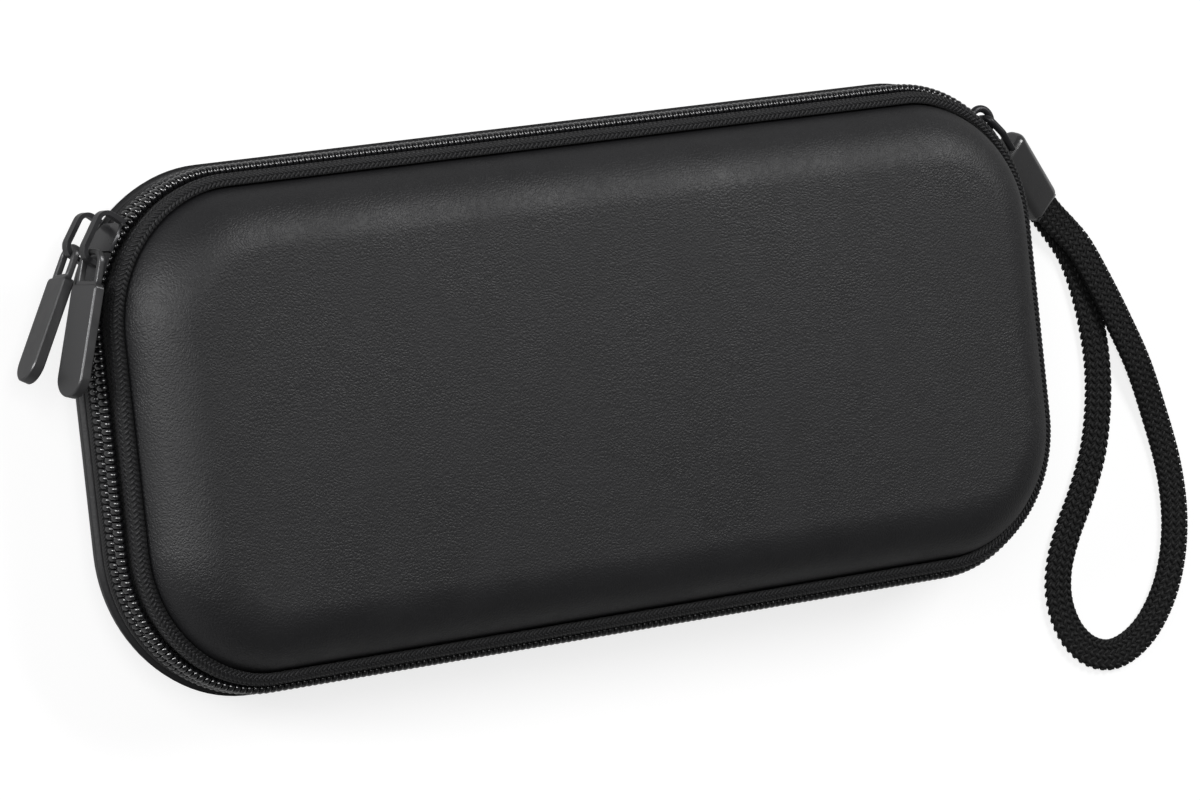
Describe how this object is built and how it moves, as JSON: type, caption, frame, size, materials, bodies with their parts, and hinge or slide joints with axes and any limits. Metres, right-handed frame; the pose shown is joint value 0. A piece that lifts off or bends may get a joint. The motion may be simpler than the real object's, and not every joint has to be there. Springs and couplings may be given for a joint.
{
  "type": "console carrying case",
  "caption": "Zipped hard-shell carrying case for a handheld game console, with rounded corners, hinged lid, foam tray, two zip sliders with pulls and a braided wrist strap.",
  "frame": {"origin": "centre of the flat face of the back shell, on which the case lies", "axes": "+Z out of the front face, +X along the long side towards the hinge and the wrist strap, +Y towards the upper long side"},
  "size_m": [0.3344, 0.1519, 0.0375],
  "materials": {
    "shell_skin": "satin synthetic leather with a fine grain",
    "tray_fabric": "brushed fabric over foam",
    "lining_fabric": "brushed fabric",
    "woven_tape": "herringbone weave",
    "coil_plastic": "glossy",
    "slider_metal": "satin dark coating",
    "pull_metal": "satin dark coating",
    "elastic": "ribbed elastic",
    "net": "open net",
    "coated_wire": "satin",
    "moulded_plastic": "satin",
    "braid": "flat braid of coarse yarns"
  },
  "bodies": {
    "base": {"back_shell": "shell_skin", "console_cradle": "tray_fabric", "back_binding": "woven_tape", "back_zip_tape": "woven_tape", "back_coil": "coil_plastic", "zip_end_stops": "coil_plastic", "hinge_tape": "woven_tape", "retaining_band_left": "elastic", "retaining_band_right": "elastic", "card_flap": "lining_fabric", "card_sleeves": "woven_tape", "anchor_loop": "coated_wire"},
    "lid": {"front_shell": "shell_skin", "front_lining": "lining_fabric", "front_binding": "woven_tape", "front_zip_tape": "woven_tape", "front_coil": "coil_plastic", "mesh_pocket": "net", "pocket_elastic": "elastic"},
    "upper_slider": {"slider_upper": "slider_metal"},
    "lower_slider": {"slider_lower": "slider_metal"},
    "front_pull": {"pull_front": "pull_metal"},
    "rear_pull": {"pull_rear": "pull_metal"},
    "strap": {"strap_bail": "coated_wire", "strap_ferrule": "moulded_plastic", "wrist_strap": "braid"}
  },
  "joints": [
    {"name": "lid_hinge", "type": "hinge", "parent": "base", "child": "lid", "pos_m": [0.13, 0, 0.019], "axis": [0, 1, 0], "range_deg": [0, 120], "deforming": ["hinge_tape"]},
    {"name": "upper_slider_travel", "type": "hinge", "parent": "base", "child": "upper_slider", "pos_m": [-0.0955, 0.024, 0.019], "axis": [0, 0, -1], "range_deg": [0, 44]},
    {"name": "lower_slider_travel", "type": "hinge", "parent": "base", "child": "lower_slider", "pos_m": [-0.0955, 0.024, 0.019], "axis": [0, 0, 1], "range_deg": [0, 19]},
    {"name": "front_pull_swing", "type": "hinge", "parent": "upper_slider", "child": "front_pull", "pos_m": [-0.13036, 0.04407, 0.019], "axis": [0, 0, -1], "range_deg": [0, 100]},
    {"name": "rear_pull_swing", "type": "hinge", "parent": "lower_slider", "child": "rear_pull", "pos_m": [-0.12961, 0.0452, 0.019], "axis": [0, 0, -1], "range_deg": [0, 100]},
    {"name": "strap_swing", "type": "hinge", "parent": "base", "child": "strap", "pos_m": [0.12722, 0.04878, 0.013], "axis": [0, 0, 1], "range_deg": [0, 80]}
  ]
}
